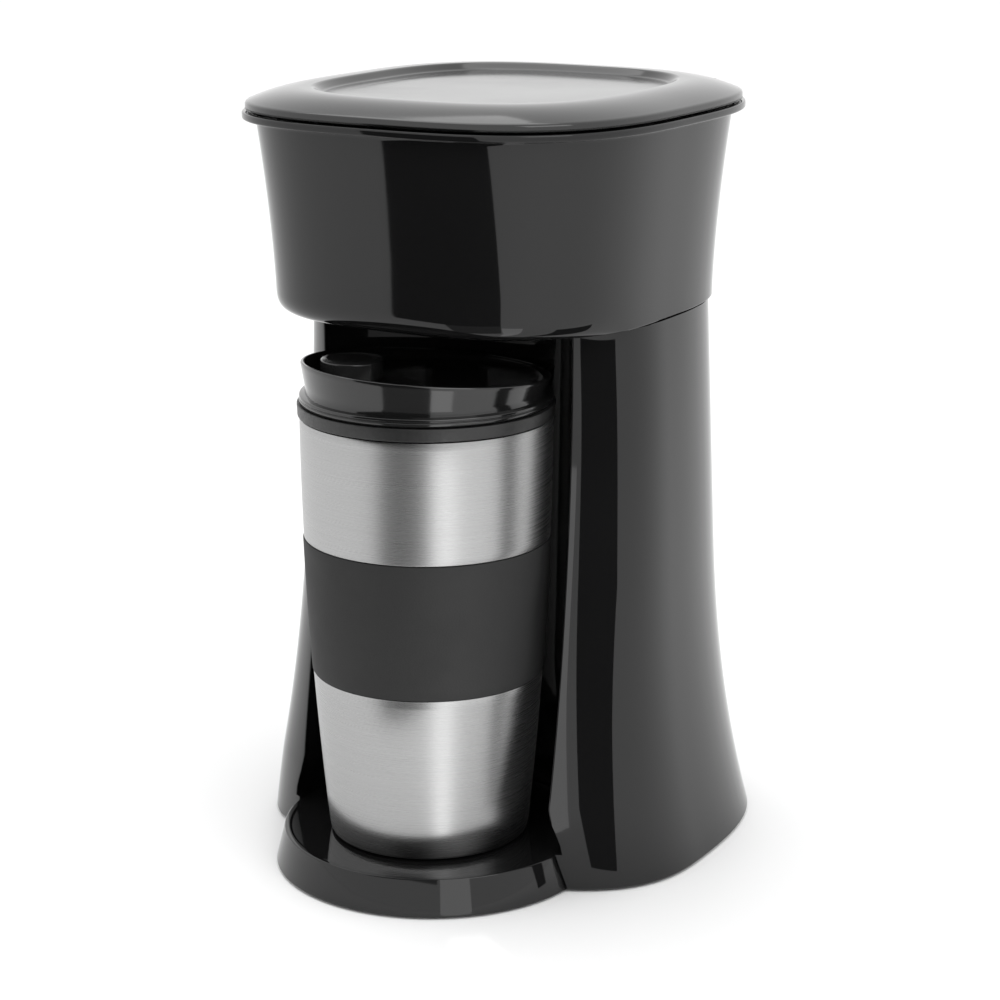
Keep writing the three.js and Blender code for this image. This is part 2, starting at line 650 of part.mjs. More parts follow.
function showerHead() {
  let head = solid(turned([
    [0, 255.9], [13, 255.9], [15, 257], [15, LID_Z - 1 - GAP], [0, LID_Z - 1 - GAP],
  ], [0, BREW_Y], 32));
  for (let i = 0; i < 8; i += 1) {
    const angle = (i * Math.PI) / 4;
    head = head.subtract(solid(rod(1.2, 255, 260, [9 * Math.cos(angle), BREW_Y + 9 * Math.sin(angle)], 6)));
  }
  return geometryOf(head);
}

// ---------------------------------------------------------------------------------------------
// Water path and heater

function heaterBlock() {
  const [x, y] = FEED_SPOT;
  const points = [HEATER_TOP_Z, 60, 48].map((z) => new THREE.Vector3(x, y, z));
  for (let degrees = 0; degrees <= 180; degrees += 30) {
    const angle = rad(degrees);
    points.push(new THREE.Vector3(x * Math.cos(angle), y, HEATER_BEND_Z - x * Math.sin(angle)));
  }
  points.push(...[48, 60, HEATER_TOP_Z].map((z) => new THREE.Vector3(-x, y, z)));
  const section = roundedRectangle(11, 19, 5);
  return new THREE.ExtrudeGeometry(section, {
    steps: 14, curveSegments: 2, extrudePath: new THREE.CatmullRomCurve3(points),
  });
}

function heaterBracket() {
  const y = HEATER_Y + 6.2;
  const profile = shape([
    [y, PLATE_TOP_Z + GAP], [y + 14, PLATE_TOP_Z + GAP], [y + 14, PLATE_TOP_Z + GAP + 1.5],
    [y + 1.5, PLATE_TOP_Z + GAP + 1.5], [y + 1.5, 62], [y, 62],
  ]);
  return extrudedAlongX(profile, -30, 30);
}

function thermostat() {
  return turned([[0, 0], [8, 0], [8, 5], [5, 6.5], [0, 6.5]], [0, 0], 24)
    .rotateX(-Math.PI / 2)
    .translate(12, HEATER_Y + 8, 44);
}

function thermalFuse() {
  return new THREE.CylinderGeometry(2.4, 2.4, 15, 16)
    .rotateZ(Math.PI / 2)
    .translate(-14, HEATER_Y + 10.6, 44);
}

function checkValve() {
  const top = PORT_Z - GAP;
  return turned([
    [2.6, top - 14], [4.5, top - 14], [4.5, top - 10], [6.4, top - 8.5], [6.4, top - 3],
    [4.8, top - 1.5], [4.8, top], [2.6, top], [2.6, top - 14],
  ], FEED_SPOT, BORE_SEGMENTS);
}

function spoutCap() {
  const low = RISER_TOP_Z + 0.9;
  const high = low + 5.7;
  return turned([
    [RISER_R + GAP, low], [SLEEVE_R + 1.4, low], [SLEEVE_R + 1.4, high], [2.4, high],
    [2.4, high - 1.6], [RISER_R + GAP, high - 2.6], [RISER_R + GAP, low],
  ], RISER_SPOT, BORE_SEGMENTS);
}

// ---------------------------------------------------------------------------------------------
// Electrical parts in the column's walls

const wallTilt = (z) => Math.atan((columnHalfX(z - 1) - columnHalfX(z + 1)) / 2);

// Places a body whose +Z points out of the left wall, with +X towards the front and +Y up.
function switchPlaced(geometry, z = SWITCH_Z) {
  const k = 1 - 0.5 * ((SWITCH_Y - PLAN_Y) / (columnHalfX(z) + REAR_EXTRA)) ** 2;
  return geometry
    .rotateX(Math.PI / 2)
    .rotateZ(-Math.PI / 2)
    .rotateY(wallTilt(z))
    .translate(-columnHalfX(z) * Math.min(1, k + 0.012), SWITCH_Y, z);
}

const lensPlaced = (geometry) => switchPlaced(geometry, LENS_Z);

// Places a body whose +Z points out of the rear wall.
function inletPlaced(geometry) {
  return geometry
    .rotateX(-Math.PI / 2 + wallTilt(INLET_Z))
    .translate(0, PLAN_Y + columnHalfX(INLET_Z) + REAR_EXTRA, INLET_Z);
}

function switchBezel() {
  const plate = new THREE.ExtrudeGeometry(roundedRectangle(SWITCH_W, SWITCH_H, 2), {
    depth: 1.5, bevelEnabled: false, curveSegments: 4,
  }).translate(0, 0, 1);
  const body = new THREE.BoxGeometry(SWITCH_W - 2, SWITCH_H - 2, 14).translate(0, 0, -5.5);
  const pocket = new THREE.BoxGeometry(SWITCH_W - 5.6, SWITCH_H - 5.6, 14).translate(0, 0, 2);
  return switchPlaced(geometryOf(solid(plate).add(solid(body)).subtract(solid(pocket))));
}

// The rocker's section is a shallow V across its pivot, stored with its lower end pressed in.
function powerRocker() {
  const half = (SWITCH_H - 6.6) / 2;
  const section = shape([[-half, -1], [half, -1], [half, 2.6], [0, 1.7], [-half, 2.6]]);
  const width = SWITCH_W - 6.6;
  const rocker = extrudedAlongX(section, -width / 2, width / 2).rotateX(rad(ROCKER_TILT));
  return switchPlaced(rocker);
}

function indicatorLens() {
  return lensPlaced(turned([
    [0, -4], [LENS_R, -4], [LENS_R, 0.3], [LENS_R + 0.9, 0.3], [LENS_R + 0.7, 0.9], [1.4, 1.5], [0, 1.6],
  ], [0, 0], BORE_SEGMENTS));
}

function cordInlet() {
  return inletPlaced(turned([
    [3.4, -6], [INLET_R, -6], [INLET_R, 0.8], [7.4, 0.8], [7.4, 1.8], [5.6, 3.2], [3.4, 3.2], [3.4, -6],
  ], [0, 0], BORE_SEGMENTS));
}

// ---------------------------------------------------------------------------------------------
// Travel mug

function mugShell() {
  const outside = [16, 42, BAND_Z - GAP].map((z) => [mugR(z), z]);
  const upper = [BAND_TOP_Z + GAP, 138, MUG_TOP_Z - GAP].map((z) => [mugR(z), z]);
  const inside = [MUG_TOP_Z - GAP, 118, 72, 42, 16].map((z) => [mugR(z) - MUG_SKIN, z]);
  const bottom = [mugR(16) - MUG_SKIN, MUG_Z];
  return turned([
    bottom, [mugR(MUG_Z) - 1, MUG_Z], [mugR(MUG_Z) + 0.1, MUG_Z + 1.1], ...outside,
    [mugR(BAND_Z) - 1.4, BAND_Z - GAP], [mugR(96) - 1.3, 96],
    [mugR(BAND_TOP_Z) - 1.3, BAND_TOP_Z + GAP], ...upper, ...inside, bottom,
  ]);
}

function mugLiner() {
  const outer = (z) => mugR(z) - MUG_SKIN - 3;
  const rim = mugR(MUG_TOP_Z) - MUG_SKIN - GAP;
  const top = MUG_TOP_Z - GAP;
  return turned([
    [0, 20], [outer(22) - 2, 20], ...[23, 60, 105, 150].map((z) => [outer(z), z]),
    [rim, 157], [rim, top], [rim - 1, top], [rim - 1, 157.4],
    ...[150, 105, 60, 24].map((z) => [outer(z) - 1, z]), [outer(22) - 3, 21], [0, 21],
  ]);
}

function mugBase() {
  const r = mugR(16) - MUG_SKIN - GAP;
  return turned([
    [0, MUG_Z + 1.4], [r - 3, MUG_Z + 1.4], [r, MUG_Z + 0.8], [r, MUG_Z + 2.4], [0, MUG_Z + 2.4],
  ]);
}

function gripBand() {
  const outside = [BAND_Z + 0.6, 96, BAND_TOP_Z - 0.6].map((z) => [mugR(z) + BAND_PROUD, z]);
  return turned([
    [mugR(BAND_Z) - 0.9, BAND_Z], [mugR(BAND_Z), BAND_Z], ...outside, [mugR(BAND_TOP_Z), BAND_TOP_Z],
    [mugR(BAND_TOP_Z) - 0.9, BAND_TOP_Z], [mugR(96) - 0.9, 96], [mugR(BAND_Z) - 0.9, BAND_Z],
  ]);
}

function mugCollar() {
  return turned([
    [COLLAR_BORE_R, MUG_TOP_Z], [COLLAR_R - 0.3, MUG_TOP_Z], [COLLAR_R, MUG_TOP_Z + 0.5],
    [COLLAR_R, COLLAR_TOP_Z - 0.5], [COLLAR_R - 0.4, COLLAR_TOP_Z], [COLLAR_BORE_R, COLLAR_TOP_Z],
    [COLLAR_BORE_R, MUG_TOP_Z],
  ]);
}

// The lid of the mug: skirt inside the collar, flange on it, and a wall whose rim slopes down
// from the front to the rear round a sunken floor.
function mugLid() {
  const low = COLLAR_TOP_Z + GAP;
  const block = solid(turned([
    [0, 154], [LID_SKIRT_R - 0.4, 154], [LID_SKIRT_R - 0.4, 156], [LID_SKIRT_R - 2.2, 156],
    [LID_SKIRT_R - 2.2, 158.6], [LID_SKIRT_R, 158.6], [LID_SKIRT_R, low],
    [LID_FLANGE_R, low], [LID_FLANGE_R + 0.1, low + 0.6], [LID_FLANGE_R - 0.2, LID_FLANGE_TOP_Z],
    [LID_RIM_R - 1.6, LID_FLANGE_TOP_Z + 0.2], [LID_RIM_R - 0.1, 180], [LID_RIM_R, 184], [0, 184],
  ]));
  const cut = new THREE.BoxGeometry(200, 200, 40).translate(0, 0, 20)
    .rotateX(-rad(LID_RIM_TILT)).translate(0, 0, LID_RIM_Z);
  const bowl = turned([
    [0, MUG_LID_FLOOR_Z], [LID_RIM_R - 5.3, MUG_LID_FLOOR_Z], [LID_RIM_R - 3.4, MUG_LID_FLOOR_Z + 1.6],
    [LID_RIM_R - 1.9, 180], [LID_RIM_R - 1.8, 190], [0, 190],
  ]);
  const under = turned([
    [0, 150], [LID_SKIRT_R - 5, 150], [LID_SKIRT_R - 5, 166], [LID_SKIRT_R - 7, MUG_LID_FLOOR_Z - 2],
    [0, MUG_LID_FLOOR_Z - 2],
  ]);
  const spout = rod(4, 160, 176, [SIP_SPOT[0] + 1, SIP_SPOT[1]]);
  return geometryOf(block
    .subtract(solid(cut))
    .subtract(solid(bowl))
    .subtract(solid(under))
    .subtract(solid(spout)));
}

function mugSeal() {
  return turned([
    [LID_SKIRT_R - 1.9, 156.3], [LID_SKIRT_R + 0.6, 156.6], [LID_SKIRT_R + 0.9, 157.3],
    [LID_SKIRT_R + 0.6, 158], [LID_SKIRT_R - 1.9, 158.3], [LID_SKIRT_R - 1.9, 156.3],
  ]);
}

function sipClosure() {
  const low = MUG_LID_FLOOR_Z + GAP;
  return turned([
    [0, low], [SIP_R - 1, low], [SIP_R, low + 1], [SIP_R, 177], [SIP_R - 0.8, 178], [0, 178.4],
  ], SIP_SPOT, 32);
}

// ---------------------------------------------------------------------------------------------
// Assembly

add('column_shell', columnShell(), GLOSS_BLACK);
add('mug_platform', platform(), GLOSS_BLACK);
add('base_plate', basePlate(), MATTE_BLACK);
FOOT_SPOTS.forEach((spot, i) => add(`foot_${i + 1}`, foot(spot), RUBBER));
[...BASE_SCREW_SPOTS, PLATFORM_SCREW_SPOT].forEach(([x, y], i) => {
  const length = i < BASE_SCREW_SPOTS.length ? 13 : 6;
  add(`base_screw_${i + 1}`, screw(length).translate(x, y, PLATE_TOP_Z - 1 - GAP), ZINC);
});

add('housing_shell', housingShell(), GLOSS_BLACK);
BODY_SCREW_SPOTS.forEach(([x, y], i) => {
  add(`body_screw_${i + 1}`, screw(14).rotateX(Math.PI).translate(x, y, HOUSING_Z + WALL + GAP), ZINC);
});
add('reservoir', reservoir(), MATTE_BLACK);
DECK_SCREW_SPOTS.forEach(([x, y], i) => {
  add(`deck_screw_${i + 1}`, screw(12).rotateX(Math.PI).translate(x, y, DECK_TOP_Z + GAP), ZINC);
});
add('outlet_nozzle', nozzle(), MATTE_BLACK);
add('filter_basket', filterBasket(), MATTE_BLACK);
add('permanent_filter', permanentFilter(), NYLON_MESH);
add('filter_handle', filterHandle(), MATTE_BLACK);

add('lid_shell', lidShell(), GLOSS_BLACK);
add('lid_liner', lidLiner(), MATTE_BLACK);
add('shower_head', showerHead(), MATTE_BLACK);
[-1, 1].forEach((side, i) => {
  const reach = KNUCKLE_HALF + EAR_T + GAP;
  add(`hinge_pin_${i + 1}`, hingeBore(PIN_R, side * HINGE_X - reach, side * HINGE_X + reach), ZINC);
});

add('heater_block', heaterBlock(), ALUMINIUM);
add('heater_bracket', heaterBracket(), ZINC);
add('thermostat', thermostat(), BRIGHT);
add('thermal_fuse', thermalFuse(), BRIGHT);
add('terminal_block', box([-52, -34], [78, 92], [PLATE_TOP_Z + GAP, 16]), GREY_PLASTIC);
add('check_valve', checkValve(), GREY_PLASTIC);
const feedPath = vertical(...FEED_SPOT, HEATER_TOP_Z + GAP, PORT_Z - 14 - 2 * GAP);
add('feed_hose', tube(PORT_R, 3, feedPath, 4), SILICONE);
const riserPath = vertical(...RISER_SPOT, HEATER_TOP_Z + GAP, RISER_TOP_Z);
add('riser_tube', tube(RISER_R, 2.6, riserPath, 4), SILICONE);
add('riser_spout', spoutCap(), MATTE_BLACK);

add('switch_bezel', switchBezel(), MATTE_BLACK);
add('power_rocker', powerRocker(), GLOSS_BLACK);
add('indicator_lens', indicatorLens(), RED_LENS);
add('cord_inlet', cordInlet(), MATTE_BLACK);

add('mug_shell', mugShell(), BRUSHED);
add('mug_liner', mugLiner(), BRIGHT);
add('mug_base', mugBase(), BRUSHED);
add('mug_grip_band', gripBand(), RUBBER);
add('mug_collar', mugCollar(), MATTE_BLACK);
add('mug_lid', mugLid(), GLOSS_BLACK);
add('mug_lid_seal', mugSeal(), SILICONE);
add('sip_closure', sipClosure(), MATTE_BLACK);

const frontY = PLATFORM_Y - platformR(SHELL_Z);
const rearY = PLAN_Y + columnHalfX(SHELL_Z) + REAR_EXTRA;
machine.position.y = -(frontY + rearY) / 2;

export default machine;
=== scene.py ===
"""Single-mug drip coffee maker with its travel mug, dressed for a studio picture."""
import json
import math

import bmesh
import bpy
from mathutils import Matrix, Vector


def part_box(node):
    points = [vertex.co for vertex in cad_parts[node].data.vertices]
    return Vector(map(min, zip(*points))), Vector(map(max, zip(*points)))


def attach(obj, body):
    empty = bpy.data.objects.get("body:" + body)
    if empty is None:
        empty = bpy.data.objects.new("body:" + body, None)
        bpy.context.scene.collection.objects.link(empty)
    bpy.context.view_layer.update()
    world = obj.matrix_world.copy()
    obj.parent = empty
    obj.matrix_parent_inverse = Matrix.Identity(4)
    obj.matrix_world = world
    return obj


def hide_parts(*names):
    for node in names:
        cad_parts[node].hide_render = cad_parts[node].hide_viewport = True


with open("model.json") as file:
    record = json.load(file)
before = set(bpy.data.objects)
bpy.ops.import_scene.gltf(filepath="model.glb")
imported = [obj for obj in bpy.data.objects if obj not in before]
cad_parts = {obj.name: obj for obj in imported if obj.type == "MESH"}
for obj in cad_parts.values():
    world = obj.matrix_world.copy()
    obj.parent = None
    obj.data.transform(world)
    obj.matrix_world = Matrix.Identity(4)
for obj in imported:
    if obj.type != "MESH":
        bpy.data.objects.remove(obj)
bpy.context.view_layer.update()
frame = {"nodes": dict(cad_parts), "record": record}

# ---------------------------------------------------------------------------------------------
# Sizes in millimetres, in the CAD's layout: the mug's axis is x = 0, y = 0 and the front is -Y

MM = 0.001


def node_mm(name):
    """(lowest corner, highest corner) of a CAD node in millimetres, y still in the row frame."""
    low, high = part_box(name)
    return [v / MM for v in low], [v / MM for v in high]


collar_low, collar_high = node_mm("mug_collar")
SHIFT_Y = (collar_low[1] + collar_high[1]) / 2
column_low, column_high = node_mm("column_shell")
lid_high = node_mm("lid_shell")[1]

PLAN_Y = 47.3
LID_HALF_X = lid_high[0]
LID_HALF_Y = LID_HALF_X + 7.5
HOUSING_Z = node_mm("housing_shell")[0][2]
FLANGE_Z = HOUSING_Z + 65.2
RIM_Z = FLANGE_Z + 2.5
WALL = 2.4
LID_Z = RIM_Z + 0.4
LID_EDGE_Z = LID_Z + 2.8
RIDGE_Z = lid_high[2]
COLUMN_TOP_Z = column_high[2]
SHELL_Z = column_low[2]
HOUSING_POWER = 3
COLUMN_POWER = 2.7
CHEEK_X = 50.8
RECESS_R = 50.0
RECESS_Y = 1.0
RECESS_FOOT = [(13.9, 54.4), (17, 53.9), (21, 52.6), (25, 51.0), (30, 50.0)]
LEDGE_Z = 13.9
COLUMN_LEVELS = (183, 175, 166, 156, 146, 136, 126, 117, 108, 100, 92, 84, 77, 70, 64, 58, 52, 47, 42, 38,
                 34, 30, 28, 26, 24, 22, 20, 18.5, 17, 15.5, 14.4)
PLATFORM_Y = 3.7
PLATFORM_R = 52.5
PLATFORM_FOOT_R = 55.8
PLATFORM_TOP_Z = node_mm("mug_platform")[1][2]
FLOOR_Z = PLATFORM_TOP_Z - 0.4
BREW_Y = 15.0
HINGE_X, HINGE_Y, HINGE_Z = 32.0, 134.0, 259.0
FILLET_R, FILLET_POWER = 8.0, 2.8
INNER_FILLET_R = FILLET_R - WALL
MUG_Z = 13.65
MUG_TOP_Z = collar_low[2]
MUG_TOP_R = 42.5
BAND_Z, BAND_TOP_Z = (corner[2] for corner in node_mm("mug_grip_band"))
COLLAR_TOP_Z = collar_high[2]
AROUND = 240
LENS_MM, AZIMUTH, ELEVATION, DISTANCE = 93.35, 30.5, 15.15, 876.0
AIM = (21.2, 12.5, 130.2)
WORLD_LOW, WORLD_HIGH = 1.2, 1.15
KEY_POWER = 4.2
STRIP_GLOW, GREY_GLOW = 2.5, 0.2


# ---------------------------------------------------------------------------------------------
# Mesh helpers

def to_row(point):
    x, y, z = point
    return Vector((x * MM, (y + SHIFT_Y) * MM, z * MM))


def finish_piece(mesh_builder, name, material, body, replaces=(), angle=35):
    mesh = bpy.data.meshes.new(name)
    bmesh.ops.recalc_face_normals(mesh_builder, faces=mesh_builder.faces)
    mesh_builder.to_mesh(mesh)
    mesh_builder.free()
    mesh.polygons.foreach_set("use_smooth", [True] * len(mesh.polygons))
    mesh.set_sharp_from_angle(angle=math.radians(angle))
    piece = bpy.data.objects.new(name, mesh)
    bpy.context.scene.collection.objects.link(piece)
    mesh.materials.append(material)
    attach(piece, body)
    if replaces:
        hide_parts(*replaces)
    return piece


def skin(rings, loop=False, cap_first=False, cap_last=False, builder=None):
    """Faces between rings of points in millimetres; loop joins the last ring to the first."""
    bm = builder or bmesh.new()
    rows = [[bm.verts.new(to_row(p)) for p in ring] for ring in rings]
    count = len(rows[0])
    pairs = list(zip(rows, rows[1:]))
    if loop:
        pairs.append((rows[-1], rows[0]))
    for low, high in pairs:
        for i in range(count):
            j = (i + 1) % count
            bm.faces.new((low[i], low[j], high[j], high[i]))
    if cap_first:
        bm.faces.new(rows[0])
    if cap_last:
        bm.faces.new(rows[-1])
    return bm


def rounded(points, steps=6):
    """A polyline of (a, b) or (a, b, radius), with each corner that has a radius made an arc."""
    path = []
    last = len(points) - 1
    for i, point in enumerate(points):
        here = Vector(point[:2])
        radius = point[2] if len(point) > 2 else 0
        if not radius or i in (0, last):
            path.append(tuple(here))
            continue
        before = Vector(points[i - 1][:2]) - here
        after = Vector(points[i + 1][:2]) - here
        half = before.angle(after) / 2
        reach = min(radius / math.tan(half), before.length * 0.49, after.length * 0.49)
        a = here + before.normalized() * reach
        b = here + after.normalized() * reach
        for k in range(steps + 1):
            t = k / steps
            path.append(tuple(a * (1 - t) ** 2 + here * 2 * t * (1 - t) + b * t ** 2))
    return path


def circle(radius, z, centre=(0, 0), count=AROUND):
    return [(centre[0] + radius * math.cos(2 * math.pi * i / count),
             centre[1] + radius * math.sin(2 * math.pi * i / count), z) for i in range(count)]


def turned(profile, centre=(0, 0), count=AROUND, loop=True):
    """A ring-shaped solid of revolution from a closed (radius, z) profile that misses the axis."""
    return skin([circle(r, z, centre, count) for r, z in profile], loop=loop)


def turned_disc(profile, centre=(0, 0), count=AROUND):
    """A solid of revolution whose profile starts and ends on the axis."""
    rings = [circle(max(r, 0.4), z, centre, count) for r, z in profile]
    return skin(rings, cap_first=True, cap_last=True)


def smoothstep(value, low, high):
    t = min(1.0, max(0.0, (value - low) / (high - low)))
    return t * t * (3 - 2 * t)


# ---------------------------------------------------------------------------------------------
# The machine's plan

def plan_angles(count=AROUND):
    """Angles that crowd towards the plan's corners."""
    return [2 * math.pi * i / count + 0.16 * math.sin(8 * math.pi * i / count) for i in range(count)]


ANGLES = plan_angles()


def lid_ring(inset, z, front_extra=0.0):
    """The lid's plan moved inwards, and by a further front_extra across the front."""
    ring = []
    for angle in ANGLES:
        c, s = math.cos(angle), math.sin(angle)
        k = (abs(c) ** HOUSING_POWER + abs(s) ** HOUSING_POWER) ** (-1 / HOUSING_POWER)
        d = inset + front_fade(s) * front_extra
        ring.append((k * c * (LID_HALF_X - d), PLAN_Y + k * s * (LID_HALF_Y - d), z))
    return ring


def housing_inset(z):
    rise = max(0.0, (z - HOUSING_Z) / (FLANGE_Z - HOUSING_Z))
    return 8.3 - 5.2 * rise ** 1.6


def fillet_inset(height, radius):
    left = max(0.0, radius - max(0.0, height))
    return radius - (radius ** FILLET_POWER - left ** FILLET_POWER) ** (1 / FILLET_POWER)


def front_fade(s):
    return smoothstep(-s, 0.3, 0.8)


def housing_ring(z, inset=0.0, floor=HOUSING_Z, fillet=FILLET_R):
    return lid_ring(inset + housing_inset(z), z, fillet_inset(z - floor, fillet))


def column_half_x(z):
    flare = max(0.0, (105 - z) / 105)
    return 66 + 0.04 * (COLUMN_TOP_Z - z) + 9.8 * flare ** 2.25


def cheek_y(z):
    """Where the column's wall ends beside the mug."""
    down = max(0.0, (170 - z) / 142)
    tuck = max(0.0, (28 - z) / 28)
    return 13 - 17.1 * down ** 1.45 + 6 * tuck ** 1.6


def column_side(angle, z, inset=0.0):
    """A point on the column's outer wall."""
    half = column_half_x(z)
    c, s = math.cos(angle), math.sin(angle)
    k = (abs(c) ** COLUMN_POWER + abs(s) ** COLUMN_POWER) ** (-1 / COLUMN_POWER)
    front = (PLAN_Y - cheek_y(z)) / (1 - (CHEEK_X / half) ** COLUMN_POWER) ** (1 / COLUMN_POWER)
    reach = front if s < 0 else half + LID_HALF_Y - LID_HALF_X
    return Vector((k * c * (half - inset), PLAN_Y + k * s * (reach - inset)))


# ---------------------------------------------------------------------------------------------
# Materials

def material(name, slot_colour, roughness, metallic=0.0):
    mat = bpy.data.materials.new(name)
    mat.use_nodes = True
    shader = mat.node_tree.nodes["Principled BSDF"]
    shader.inputs["Base Color"].default_value = (*slot_colour, 1)
    shader.inputs["Roughness"].default_value = roughness
    shader.inputs["Metallic"].default_value = metallic
    return mat, shader, mat.node_tree


def object_coordinates(tree, scale):
    coords = tree.nodes.new("ShaderNodeTexCoord")
    mapping = tree.nodes.new("ShaderNodeMapping")
    mapping.inputs["Scale"].default_value = scale
    tree.links.new(coords.outputs["Object"], mapping.inputs["Vector"])
    return mapping.outputs["Vector"]


def noise(tree, vector, scale, detail=3.0, rough=0.5):
    node = tree.nodes.new("ShaderNodeTexNoise")
    node.inputs["Scale"].default_value = scale
    node.inputs["Detail"].default_value = detail
    node.inputs["Roughness"].default_value = rough
    tree.links.new(vector, node.inputs["Vector"])
    return node.outputs["Fac"]


def ranged(tree, value, low, high, start=0.3, end=0.7):
    node = tree.nodes.new("ShaderNodeMapRange")
    node.inputs["From Min"].default_value = start
    node.inputs["From Max"].default_value = end
    node.inputs["To Min"].default_value = low
    node.inputs["To Max"].default_value = high
    tree.links.new(value, node.inputs["Value"])
    return node.outputs["Result"]


def two_tones(tree, value, dark, light):
    ramp = tree.nodes.new("ShaderNodeValToRGB")
    ramp.color_ramp.elements[0].position = 0.3
    ramp.color_ramp.elements[0].color = (*dark, 1)
    ramp.color_ramp.elements[1].position = 0.7
    ramp.color_ramp.elements[1].color = (*light, 1)
    tree.links.new(value, ramp.inputs["Fac"])
    return ramp.outputs["Color"]


def bump(tree, shader, height, strength, distance):
    node = tree.nodes.new("ShaderNodeBump")
    node.inputs["Strength"].default_value = strength
    node.inputs["Distance"].default_value = distance
    tree.links.new(height, node.inputs["Height"])
    tree.links.new(node.outputs["Normal"], shader.inputs["Normal"])


def polished_plastic(name, colour, low, high, shine=0.5):
    """Polished moulding: an even deep colour, faint smears in its gloss and a trace of flow."""
    mat, shader, tree = material(name, colour, low)
    shader.inputs["Specular IOR Level"].default_value = shine
    vector = object_coordinates(tree, (1, 1, 1))
    smears = noise(tree, vector, 22, 4)
    tree.links.new(ranged(tree, smears, low, high), shader.inputs["Roughness"])
    light = tuple(v * 1.35 for v in colour)
    tones = two_tones(tree, noise(tree, vector, 9, 2), colour, light)
    tree.links.new(tones, shader.inputs["Base Color"])
    bump(tree, shader, noise(tree, vector, 60, 1), 0.03, 0.0004)
    return mat


def satin_plastic(name, colour, rough=0.42, grain=900.0):
    """Spark-eroded moulding: fine grain in the surface and a slight change of tone."""
    mat, shader, tree = material(name, colour, rough)
    vector = object_coordinates(tree, (1, 1, 1))
    fine = noise(tree, vector, grain, 2)
    tree.links.new(ranged(tree, fine, rough - 0.06, rough + 0.1), shader.inputs["Roughness"])
    light = tuple(min(1.0, v * 1.3) for v in colour)
    tones = two_tones(tree, noise(tree, vector, 30, 3), colour, light)
    tree.links.new(tones, shader.inputs["Base Color"])
    bump(tree, shader, fine, 0.25, 0.0002)
    return mat


def rubber(name, colour):
    mat, shader, tree = material(name, colour, 0.75)
    vector = object_coordinates(tree, (1, 1, 1))
    fine = noise(tree, vector, 1400, 3)
    cloudy = noise(tree, vector, 40, 4)
    tree.links.new(ranged(tree, cloudy, 0.68, 0.82), shader.inputs["Roughness"])
    light = tuple(v * 1.25 for v in colour)
    tree.links.new(two_tones(tree, cloudy, colour, light), shader.inputs["Base Color"])
    bump(tree, shader, fine, 0.35, 0.00015)
    return mat


def brushed_steel(name, tone, rough):
    """Steel brushed round the vertical axis: long fine lines that lie level."""
    mat, shader, tree = material(name, (tone, tone, tone), rough, 1.0)
    shader.inputs["Anisotropic"].default_value = 0.8
    tangent = tree.nodes.new("ShaderNodeTangent")
    tangent.direction_type = "RADIAL"
    tangent.axis = "Z"
    tree.links.new(tangent.outputs["Tangent"], shader.inputs["Tangent"])
    lines = noise(tree, object_coordinates(tree, (3, 3, 6500)), 1.0, 3, 0.7)
    bands = noise(tree, object_coordinates(tree, (2.5, 2.5, 4200)), 1.0, 2)
    tree.links.new(ranged(tree, lines, rough - 0.012, rough + 0.018), shader.inputs["Roughness"])
    low, high = tone * 0.95, min(1.0, tone * 1.04)
    tones = two_tones(tree, bands, (low, low, low), (high, high, high))
    tree.links.new(tones, shader.inputs["Base Color"])
    bump(tree, shader, lines, 0.012, 0.00001)
    return mat


def plain_metal(name, colour, rough):
    mat, shader, tree = material(name, colour, rough, 1.0)
    vector = object_coordinates(tree, (1, 1, 1))
    cloudy = noise(tree, vector, 180, 4)
    tree.links.new(ranged(tree, cloudy, rough - 0.08, rough + 0.1), shader.inputs["Roughness"])
    dark = tuple(v * 0.8 for v in colour)
    tree.links.new(two_tones(tree, cloudy, dark, colour), shader.inputs["Base Color"])
    bump(tree, shader, noise(tree, vector, 700, 2), 0.15, 0.0001)
    return mat


def woven_nylon(name, colour):
    mat, shader, tree = material(name, colour, 0.6)
    waves = []
    for axis in ("X", "Z"):
        wave = tree.nodes.new("ShaderNodeTexWave")
        wave.bands_direction = axis
        wave.inputs["Scale"].default_value = 420
        tree.links.new(object_coordinates(tree, (1, 1, 1)), wave.inputs["Vector"])
        waves.append(wave.outputs["Fac"])
    weave = tree.nodes.new("ShaderNodeMath")
    weave.operation = "MULTIPLY"
    tree.links.new(waves[0], weave.inputs[0])
    tree.links.new(waves[1], weave.inputs[1])
    dark = tuple(v * 0.35 for v in colour)
    tree.links.new(two_tones(tree, weave.outputs[0], dark, colour), shader.inputs["Base Color"])
    bump(tree, shader, weave.outputs[0], 0.5, 0.0003)
    return mat


def clear_lens(name, colour):
    mat, shader, tree = material(name, colour, 0.08)
    shader.inputs["Transmission Weight"].default_value = 0.5
    vector = object_coordinates(tree, (1, 1, 1))
    light = tuple(min(1.0, v * 1.4 + 0.02) for v in colour)
    tones = two_tones(tree, noise(tree, vector, 300, 2), colour, light)
    tree.links.new(tones, shader.inputs["Base Color"])
    bump(tree, shader, noise(tree, vector, 500, 1), 0.2, 0.0002)
    return mat


